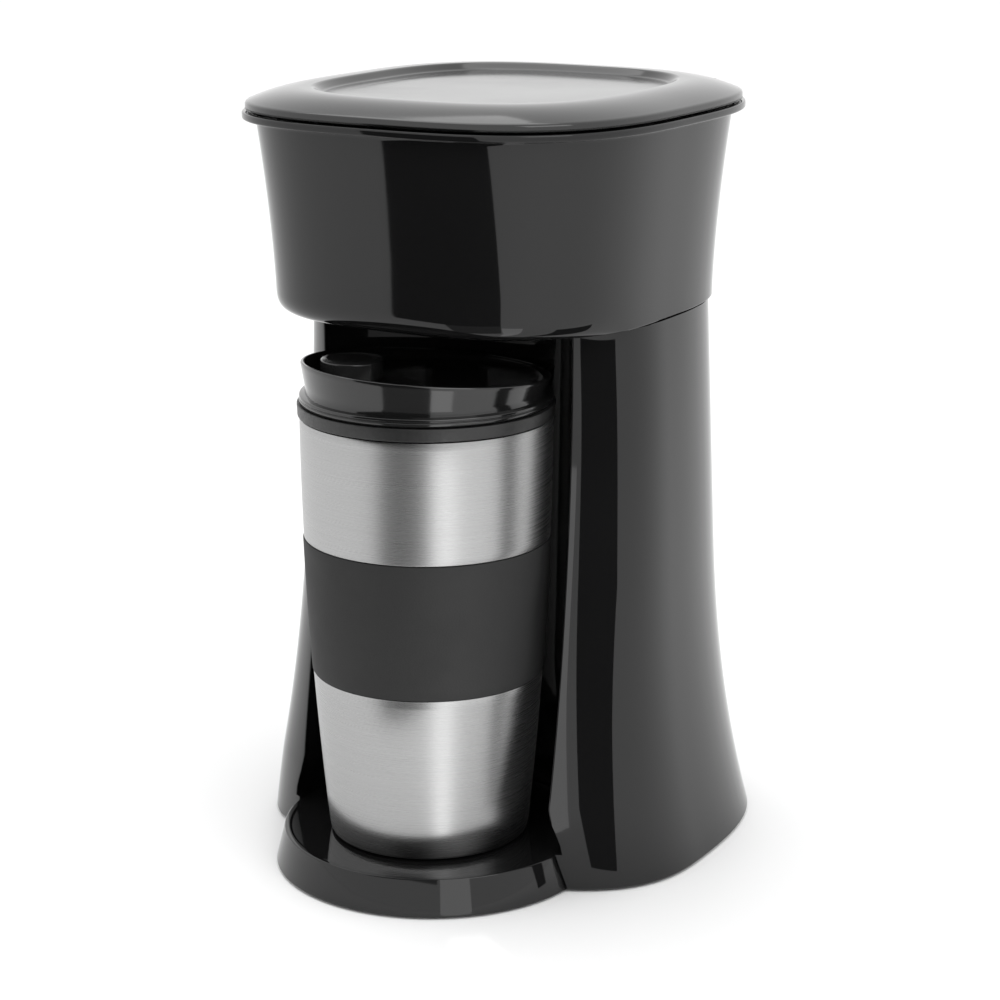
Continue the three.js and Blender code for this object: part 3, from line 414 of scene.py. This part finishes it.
GLOSS = polished_plastic("gloss_black_abs", (0.005, 0.005, 0.0051), 0.04, 0.07, 0.4)
GLOSS_LID = polished_plastic("gloss_black_lid", (0.006, 0.006, 0.006), 0.09, 0.15, 0.62)
SATIN = satin_plastic("black_plastic", (0.010, 0.010, 0.010))
CAP = polished_plastic("cap_plastic", (0.014, 0.014, 0.014), 0.16, 0.24)
FOOT = rubber("foot_rubber", (0.03, 0.03, 0.03))
GRIP = rubber("grip_rubber", (0.0095, 0.0095, 0.0095))
STEEL = brushed_steel("brushed_steel", 0.39, 0.27)
BRIGHT = plain_metal("bright_steel", (0.68, 0.68, 0.68), 0.25)
ZINC = plain_metal("zinc_steel", (0.6, 0.6, 0.57), 0.38)
CAST = plain_metal("cast_aluminium", (0.6, 0.61, 0.62), 0.5)
GREY = satin_plastic("grey_plastic", (0.36, 0.36, 0.35))
SILICONE = rubber("silicone", (0.62, 0.61, 0.58))
NYLON = woven_nylon("nylon_mesh", (0.46, 0.36, 0.22))
LENS = clear_lens("red_lens", (0.5, 0.02, 0.02))

BY_SLOT = {
    "gloss_black_abs": GLOSS, "gloss_black_lid": GLOSS_LID, "black_plastic": SATIN, "foot_rubber": FOOT,
    "grip_rubber": GRIP, "brushed_steel": STEEL, "bright_steel": BRIGHT, "zinc_steel": ZINC,
    "cast_aluminium": CAST, "grey_plastic": GREY, "silicone": SILICONE, "nylon_mesh": NYLON,
    "red_lens": LENS,
}


def dress_cad_nodes():
    slots = {s["node"]: s["material_slot"] for s in frame["record"]["subparts"]}
    for name, node in frame["nodes"].items():
        node.data.materials.clear()
        node.data.materials.append(BY_SLOT[slots[name]])
        node.data.polygons.foreach_set("use_smooth", [True] * len(node.data.polygons))
        node.data.set_sharp_from_angle(angle=math.radians(32))


# ---------------------------------------------------------------------------------------------
# Camera, light and floor

def towards(azimuth, elevation):
    """The direction from the machine at an azimuth from the front and an elevation, in degrees."""
    a, e = math.radians(azimuth), math.radians(elevation)
    return Vector((math.sin(a) * math.cos(e), -math.cos(a) * math.cos(e), math.sin(e)))


def build_camera():
    back = towards(AZIMUTH, ELEVATION)
    camera = bpy.data.objects.new("camera", bpy.data.cameras.new("camera"))
    camera.data.lens = LENS_MM
    camera.data.sensor_width = 36
    camera.data.clip_start = 0.01
    camera.location = to_row(Vector(AIM) + back * DISTANCE)
    camera.rotation_euler = back.to_track_quat("Z", "Y").to_euler()
    bpy.context.scene.collection.objects.link(camera)
    bpy.context.scene.camera = camera


def stage_plane(name, size, location, rotation, mat):
    bm = bmesh.new()
    bmesh.ops.create_grid(bm, x_segments=1, y_segments=1, size=0.5)
    mesh = bpy.data.meshes.new(name)
    bm.to_mesh(mesh)
    bm.free()
    plane = bpy.data.objects.new(name, mesh)
    plane.scale = (*size, 1)
    plane.location = location
    plane.rotation_euler = rotation
    mesh.materials.append(mat)
    bpy.context.scene.collection.objects.link(plane)
    return plane


def build_floor():
    mat, shader, tree = material("studio_floor", (0.9, 0.9, 0.9), 0.6)
    shader.inputs["Specular IOR Level"].default_value = 0.2
    stage_plane("studio_floor", (9, 9), (0, 0, 0), (0, 0, 0), mat)


def area_light(name, azimuth, elevation, distance, size, power, aim=(0, 0.02, 0.13)):
    light = bpy.data.lights.new(name, "AREA")
    light.shape = "RECTANGLE"
    light.size, light.size_y = size
    light.energy = power
    lamp = bpy.data.objects.new(name, light)
    back = towards(azimuth, elevation)
    lamp.location = Vector(aim) + back * distance
    lamp.rotation_euler = back.to_track_quat("Z", "Y").to_euler()
    bpy.context.scene.collection.objects.link(lamp)
    return lamp


def reflection_card(name, corners, mat):
    """A card that only reflections see, from its corners in metres, row frame."""
    bm = bmesh.new()
    bm.faces.new([bm.verts.new(c) for c in corners])
    mesh = bpy.data.meshes.new(name)
    bm.to_mesh(mesh)
    bm.free()
    mesh.materials.append(mat)
    card = bpy.data.objects.new(name, mesh)
    bpy.context.scene.collection.objects.link(card)
    card.visible_camera = False
    card.visible_shadow = False
    card.visible_diffuse = False
    card.visible_transmission = False


def card_material(name, strength):
    mat, shader, _ = material(name, (0.002, 0.002, 0.002), 1.0)
    shader.inputs["Specular IOR Level"].default_value = 0
    shader.inputs["Emission Color"].default_value = (1, 1, 1, 1)
    shader.inputs["Emission Strength"].default_value = strength
    return mat


def build_cards():
    """Three dark cards and a bright strip, close in front, that shape the reflections."""
    black = card_material("black_card", 0.0)
    grey = card_material("grey_card", GREY_GLOW)
    white = card_material("white_card", STRIP_GLOW)
    upper = [(-0.054, 0.262), (0.040, 0.262), (0.057, 0.217), (0.080, 0.174), (0.080, 0.15), (-0.006, 0.15),
             (-0.006, 0.152), (-0.0535, 0.160)]
    lower = [(0.080, 0.15), (0.080, 0.125), (0.076, 0.024), (-0.0195, 0.024), (-0.006, 0.131),
             (-0.006, 0.15)]
    reflection_card("upper_card", [(x, -0.157, z) for x, z in upper], black)
    reflection_card("lower_card", [(x, -0.157, z) for x, z in lower], grey)
    cheek = [(0.0, 0.183), (1.0, 0.183), (1.0, 0.10), (0.74, 0.055), (0.62, 0.03), (0.52, 0.004),
             (0.12, 0.004), (0.0, 0.03)]
    near, far = Vector((0.0695, -0.053)), Vector((0.0895, -0.027))
    corners = [(*(near + (far - near) * t), z) for t, z in cheek]
    reflection_card("cheek_card", corners, black)
    strip = [(0.081, -0.157, 0.0), (0.114, -0.128, 0.0), (0.114, -0.128, 0.132), (0.081, -0.157, 0.132)]
    reflection_card("bright_strip", strip, white)
    floor_strip = [(0.0393, -0.0947), (0.0478, -0.0859), (0.114, -0.128), (0.081, -0.157)]
    reflection_card("floor_strip", [(x, y, 0.0012) for x, y in floor_strip], white)


def build_world():
    """Bright towards the horizon and softer overhead; plain white behind the picture."""
    world = bpy.data.worlds.new("studio")
    bpy.context.scene.world = world
    world.use_nodes = True
    tree = world.node_tree
    background = tree.nodes["Background"]
    coords = tree.nodes.new("ShaderNodeTexCoord")
    split = tree.nodes.new("ShaderNodeSeparateXYZ")
    tree.links.new(coords.outputs["Generated"], split.inputs["Vector"])
    height = ranged(tree, split.outputs["Z"], WORLD_LOW, WORLD_HIGH, 0.1, 0.7)
    rays = tree.nodes.new("ShaderNodeLightPath")
    seen = tree.nodes.new("ShaderNodeMix")
    tree.links.new(rays.outputs["Is Camera Ray"], seen.inputs["Factor"])
    tree.links.new(height, seen.inputs["A"])
    seen.inputs["B"].default_value = 1.0
    background.inputs["Color"].default_value = (1, 1, 1, 1)
    tree.links.new(seen.outputs["Result"], background.inputs["Strength"])


def build_studio():
    bpy.context.scene.view_settings.view_transform = "Standard"
    build_world()
    build_floor()
    build_cards()
    area_light("key_softbox", 60, 40, 1.3, (0.8, 0.8), KEY_POWER)
    area_light("top_softbox", -120, 70, 1.4, (1.0, 1.0), KEY_POWER)


# ---------------------------------------------------------------------------------------------
# Column and platform

def recess_radius(z):
    for (low, low_r), (high, high_r) in zip(RECESS_FOOT, RECESS_FOOT[1:]):
        if z <= high:
            t = smoothstep(z, low, high) if high == 30 else (z - low) / (high - low)
            return low_r + (high_r - low_r) * t
    return RECESS_R


def column_outline(z, radius, centre_y, inset=0.0):
    """The column's plan at one height: round its outside, then back along a hollow of the given
    radius in its front, with the two lips between them rounded."""
    side_points, hollow_points, lip_points, lip = 170, 70, 6, 0.75

    def gap(angle):
        x, y = column_side(angle, z, inset)
        return math.hypot(x, y - centre_y) - radius

    low, high = math.radians(-89), math.radians(-8)
    for _ in range(40):
        middle = (low + high) / 2
        low, high = (low, middle) if gap(middle) > 0 else (middle, high)
    corner = column_side(high, z, inset)
    near = column_side(high + 0.01, z, inset)
    start = high + 0.01 * lip / (near - corner).length
    side = [column_side(start + (math.pi - 2 * start) * i / side_points, z, inset)
            for i in range(side_points + 1)]
    corner_angle = math.atan2(corner.y - centre_y, corner.x)
    edge = corner_angle + lip / radius
    hollow = []
    for i in range(hollow_points + 1):
        angle = math.pi - edge + (2 * edge - math.pi) * i / hollow_points
        hollow.append(Vector((radius * math.cos(angle), centre_y + radius * math.sin(angle))))
    right_lip = []
    for k in range(1, lip_points):
        t = k / lip_points
        right_lip.append(hollow[-1] * (1 - t) ** 2 + corner * 2 * t * (1 - t) + side[0] * t ** 2)
    left_lip = [Vector((-v.x, v.y)) for v in reversed(right_lip)]
    return [(v.x, v.y, z) for v in side + left_lip + hollow + right_lip]


def build_column():
    rings = [column_outline(COLUMN_TOP_Z, RECESS_R, RECESS_Y, 0.15)]
    for z in (COLUMN_TOP_Z - 0.15, *COLUMN_LEVELS, LEDGE_Z):
        rings.append(column_outline(z, recess_radius(z), RECESS_Y))
    for z in (LEDGE_Z - 0.05, 12.0, 10.0, 8.0, 6.0, 4.0, 2.2, SHELL_Z + 0.5, SHELL_Z):
        seat = PLATFORM_FOOT_R - 3.3 * z / PLATFORM_TOP_Z + 0.3
        rings.append(column_outline(z, seat, PLATFORM_Y, 0.4 if z == SHELL_Z else 0.0))
    for z, inset in ((SHELL_Z, WALL), (SHELL_Z + 3, WALL)):
        rings.append(column_outline(z, PLATFORM_FOOT_R + WALL, PLATFORM_Y, inset))
    bm = skin(list(reversed(rings)), cap_first=True, cap_last=True)
    finish_piece(bm, "column", GLOSS, "base", ["column_shell"], 40)


def build_platform():
    def wall(z):
        return PLATFORM_FOOT_R - (PLATFORM_FOOT_R - PLATFORM_R) * z / PLATFORM_TOP_Z

    profile = rounded([
        (0.4, FLOOR_Z), (PLATFORM_R - 2.4, FLOOR_Z, 0.5), (PLATFORM_R - 1.7, PLATFORM_TOP_Z, 0.25),
        (PLATFORM_R, PLATFORM_TOP_Z, 0.6), (wall(7), 7.0), (wall(SHELL_Z), SHELL_Z, 0.4),
        (wall(SHELL_Z) - 2.2, SHELL_Z, 0.3), (wall(10) - 2.2, 10.7), (0.4, 10.7),
    ])
    bm = turned_disc(profile, (0, PLATFORM_Y))
    finish_piece(bm, "platform", GLOSS, "base", ["mug_platform"], 40)


# ---------------------------------------------------------------------------------------------
# Housing and lid

def build_housing():
    rings = [circle_on_plan(6.0, HOUSING_Z), circle_on_plan(12.0, HOUSING_Z)]
    rings.append(housing_ring(HOUSING_Z, inset=9.0))
    rings.append(housing_ring(HOUSING_Z, inset=2.0))
    rings.append(housing_ring(HOUSING_Z, inset=0.35))
    rings.append(housing_ring(HOUSING_Z + 0.12, inset=0.08))
    for k in range(1, 15):
        height = FILLET_R * (1 - math.cos(k * math.pi / 28))
        rings.append(housing_ring(HOUSING_Z + max(height, 0.3)))
    for z in range(203, 256, 4):
        rings.append(housing_ring(float(z)))
    rings.append(housing_ring(FLANGE_Z - 0.8))
    rings.append(housing_ring(FLANGE_Z - 0.25, inset=-0.25))
    flange = rounded([
        (1.5, FLANGE_Z), (-1.0, FLANGE_Z, 0.7), (-1.0, RIM_Z, 0.7), (1.2, RIM_Z, 0.3), (1.2, RIM_Z - 0.5),
        (5.6, RIM_Z - 0.5, 0.4), (5.65, RIM_Z - 2.5),
    ])
    for inset, z in flange:
        rings.append(lid_ring(inset, z))
    for z in (250.0, 235.0, 220.0, 205.0, HOUSING_Z + 8):
        rings.append(housing_ring(z, WALL, HOUSING_Z + WALL, INNER_FILLET_R))
    for height in (4.0, 2.0, 0.8, 0.0):
        rings.append(housing_ring(HOUSING_Z + WALL + height, WALL, HOUSING_Z + WALL, INNER_FILLET_R))
    rings.append(circle_on_plan(12.0, HOUSING_Z + WALL))
    rings.append(circle_on_plan(6.0, HOUSING_Z + WALL))
    bm = skin(rings, loop=True)
    finish_piece(bm, "housing", GLOSS, "base", ["housing_shell"], 38)
    for side in (-1, 1):
        build_ear(side * HINGE_X - 7.7)
        build_ear(side * HINGE_X + 4.3)


def circle_on_plan(radius, z):
    return [(radius * math.cos(a), BREW_Y + radius * math.sin(a), z) for a in ANGLES]


def extruded_x(outline, x0, x1, bevel, name, mat, body, replaces=()):
    """An outline in Y and Z, extruded along X, with its edges bevelled."""
    bm = bmesh.new()
    front = [bm.verts.new(to_row((x0, y, z))) for y, z in outline]
    back = [bm.verts.new(to_row((x1, y, z))) for y, z in outline]
    bm.faces.new(front)
    bm.faces.new(list(reversed(back)))
    count = len(outline)
    for i in range(count):
        j = (i + 1) % count
        bm.faces.new((front[i], back[i], back[j], front[j]))
    rims = [e for e in bm.edges if all(abs(v.co.x - e.verts[0].co.x) < 1e-7 for v in e.verts)]
    bmesh.ops.bevel(bm, geom=rims, offset=bevel * MM, segments=3, profile=0.5, affect="EDGES")
    return finish_piece(bm, name, mat, body, replaces, 40)


def arc(cy, cz, radius, start, end, steps=16):
    return [(cy + radius * math.cos(start + (end - start) * i / steps),
             cz + radius * math.sin(start + (end - start) * i / steps)) for i in range(steps + 1)]


def build_ear(x0):
    outline = [(122.5, 249.8), (127.0, 249.8)]
    outline += arc(HINGE_Y, HINGE_Z, 2.8, -0.8, 2.6) + [(129.4, 257.4), (124.0, 257.4)]
    extruded_x(outline, x0 + 0.05, x0 + 3.35, 0.35, f"hinge_ear_{round(x0 + 100)}", GLOSS, "base")


def lid_profile():
    """The lid's top as (inset, z), from its edge to the flat of its dish."""
    crown = [(0.0, LID_Z + 0.5), (0.0, LID_EDGE_Z - 0.7), (0.2, LID_EDGE_Z - 0.25), (0.6, LID_EDGE_Z + 0.1)]
    low, high = 1.2, 17.5
    for i in range(18):
        t = i / 17
        rise = 1 - (1 - t) ** 1.9
        crown.append((low + (high - low) * t, LID_EDGE_Z + 0.35 + (RIDGE_Z - LID_EDGE_Z - 0.35) * rise))
    dish = rounded([
        (17.5, RIDGE_Z), (20.3, RIDGE_Z, 2.4), (23.0, 264.1, 2.6), (30.0, 263.9, 3), (50.0, 263.8),
    ], 8)
    return crown + dish[1:]


def build_lid():
    under = rounded([
        (50.0, 261.4), (26.0, 261.4, 2), (21.0, 262.0, 2), (17.0, 263.6, 2), (8.0, 262.4, 3),
        (2.6, 260.8, 0.8), (2.3, LID_Z, 0.3), (0.9, LID_Z, 0.4), (0.0, LID_Z + 1.0),
    ], 4)
    rings = [lid_ring(inset, z) for inset, z in under]
    rings += [lid_ring(inset, z) for inset, z in lid_profile()]
    bm = skin(rings, cap_first=True, cap_last=True)
    finish_piece(bm, "lid", GLOSS_LID, "lid", ["lid_shell"], 38)
    for side in (-1, 1):
        x0 = side * HINGE_X - 4
        outline = [(126.0, LID_Z + 0.2), (131.2, LID_Z + 0.2)]
        outline += arc(HINGE_Y, HINGE_Z, 2.8, 2.9, 7.2, 24) + [(131.6, 261.7), (126.0, 261.7)]
        name = "lid_knuckle_left" if side < 0 else "lid_knuckle_right"
        extruded_x(outline, x0 + 0.05, x0 + 7.95, 0.35, name, GLOSS_LID, "lid")


# ---------------------------------------------------------------------------------------------
# Travel mug

def mug_r(z):
    return MUG_TOP_R - 8.2 * ((MUG_TOP_Z - z) / (MUG_TOP_Z - MUG_Z)) ** 1.9


def build_mug_shell():
    def wall(low, high, steps, inset=0.0):
        return [(mug_r(low + (high - low) * i / steps) - inset, low + (high - low) * i / steps)
                for i in range(steps + 1)]

    groove = 1.25
    lower = [(28.0, MUG_Z + 0.9), (31.0, MUG_Z + 0.2), (32.4, MUG_Z), (33.4, MUG_Z + 0.05),
             (33.95, MUG_Z + 0.4), (34.3, MUG_Z + 1.2)]
    outside = lower + wall(16.5, BAND_Z - 0.45, 20) + [
        (mug_r(BAND_Z) - 0.1, BAND_Z - 0.22), (mug_r(BAND_Z) - groove, BAND_Z - 0.2)]
    outside += wall(BAND_Z, BAND_TOP_Z, 6, groove)
    outside += [(mug_r(BAND_TOP_Z) - groove, BAND_TOP_Z + 0.2),
                (mug_r(BAND_TOP_Z) - 0.1, BAND_TOP_Z + 0.22)]
    outside += wall(BAND_TOP_Z + 0.45, MUG_TOP_Z - 1.0, 18) + [
        (MUG_TOP_R - 0.1, MUG_TOP_Z - 0.55), (MUG_TOP_R - 0.4, MUG_TOP_Z - 0.32)]
    inside = [(mug_r(z) - 2.3, z) for z in (MUG_TOP_Z - 0.32, 130, 90, 50, 20)] + [(28.0, 17.0)]
    finish_piece(turned(outside + inside), "mug_body", STEEL, "mug", ["mug_shell"], 30)


def build_grip_band():
    levels = [BAND_Z + 0.5 + (BAND_TOP_Z - BAND_Z - 1.0) * i / 16 for i in range(17)]
    profile = [(mug_r(BAND_Z) - 0.9, BAND_Z), (mug_r(BAND_Z) - 0.1, BAND_Z),
               (mug_r(BAND_Z) + 0.2, BAND_Z + 0.15)]
    profile += [(mug_r(z) + 0.3, z) for z in levels]
    profile += [(mug_r(BAND_TOP_Z) + 0.2, BAND_TOP_Z - 0.15), (mug_r(BAND_TOP_Z) - 0.1, BAND_TOP_Z),
                (mug_r(BAND_TOP_Z) - 0.9, BAND_TOP_Z), (mug_r(96) - 0.9, 96.0)]
    finish_piece(turned(profile), "grip_band", GRIP, "mug", ["mug_grip_band"], 30)


def build_collar():
    profile = rounded([
        (37.6, MUG_TOP_Z), (43.1, MUG_TOP_Z, 0.5), (43.3, COLLAR_TOP_Z, 0.7), (42.6, COLLAR_TOP_Z, 0.2),
        (37.4, COLLAR_TOP_Z - 0.1, 0.2), (37.4, MUG_TOP_Z + 0.4),
    ])
    finish_piece(turned(profile), "mug_collar_ring", SATIN, "mug", ["mug_collar"], 35)


def rim_height(x, y):
    return 176.3 - 0.022 * x - 0.085 * y


def build_mug_lid():
    low = COLLAR_TOP_Z + 0.3
    under = rounded([
        (2.0, 168.6), (29.0, 168.6, 1), (31.0, 166.0, 1), (31.0, 154.2, 0.3), (35.4, 154.2, 0.5),
        (35.6, 156.0, 0.2), (33.9, 156.0, 0.2), (33.9, 158.6, 0.2), (36.0, 158.6, 0.3),
        (36.0, low + 0.1, 0.2), (42.3, low, 0.4), (42.7, low + 1.2, 0.5), (42.2, low + 1.5, 0.15),
        (42.5, low + 1.9, 0.3), (42.4, 168.0, 0.5), (40.6, 168.35, 0.5),
    ], 4)
    rings = [circle(r, z) for r, z in under]
    steps = 10
    for i in range(1, steps + 1):
        t = i / steps
        ring = []
        for x, y, _ in circle(1.0, 0.0):
            r = 40.25 + 1.55 * t
            top = rim_height(x * r, y * r) - 0.7
            ring.append((x * r, y * r, 168.9 + (top - 168.9) * t))
        rings.append(ring)
    for r, lift in ((41.72, -0.3), (41.45, -0.05), (41.1, 0.0), (40.6, -0.08), (40.3, -0.4)):
        rings.append([(x * r, y * r, rim_height(x * r, y * r) + lift) for x, y, _ in circle(1.0, 0.0)])
    for i in range(1, 7):
        t = i / 6
        r = 40.3 - 1.5 * t
        ring = []
        for x, y, _ in circle(1.0, 0.0):
            top = rim_height(x * 40.3, y * 40.3) - 0.4
            ring.append((x * r, y * r, top + (172.4 - top) * t))
        rings.append(ring)
    for r, z in ((38.2, 171.3), (37.2, 170.75), (36.0, 170.6), (20.0, 170.6), (2.0, 170.6)):
        rings.append(circle(r, z))
    bm = skin(rings, cap_first=True, cap_last=True)
    finish_piece(bm, "drinking_lid", GLOSS_LID, "drinking_lid", ["mug_lid"], 38)


def build_sip_cap():
    low, high = node_mm("sip_closure")
    centre = ((low[0] + high[0]) / 2, (low[1] + high[1]) / 2 - SHIFT_Y)
    profile = rounded([
        (0.4, 170.9), (9.6, 170.9, 0.4), (10.5, 171.8, 0.4), (10.5, 177.9, 0.9), (8.2, 178.35, 0.6),
        (7.6, 177.9, 0.5), (0.4, 177.8),
    ])
    finish_piece(turned_disc(profile, centre, 96), "sip_cap", CAP, "sip_cap", ["sip_closure"], 35)


# ---------------------------------------------------------------------------------------------

build_camera()
build_studio()
dress_cad_nodes()
build_column()
build_platform()
build_housing()
build_lid()
build_mug_shell()
build_grip_band()
build_collar()
build_mug_lid()
build_sip_cap()
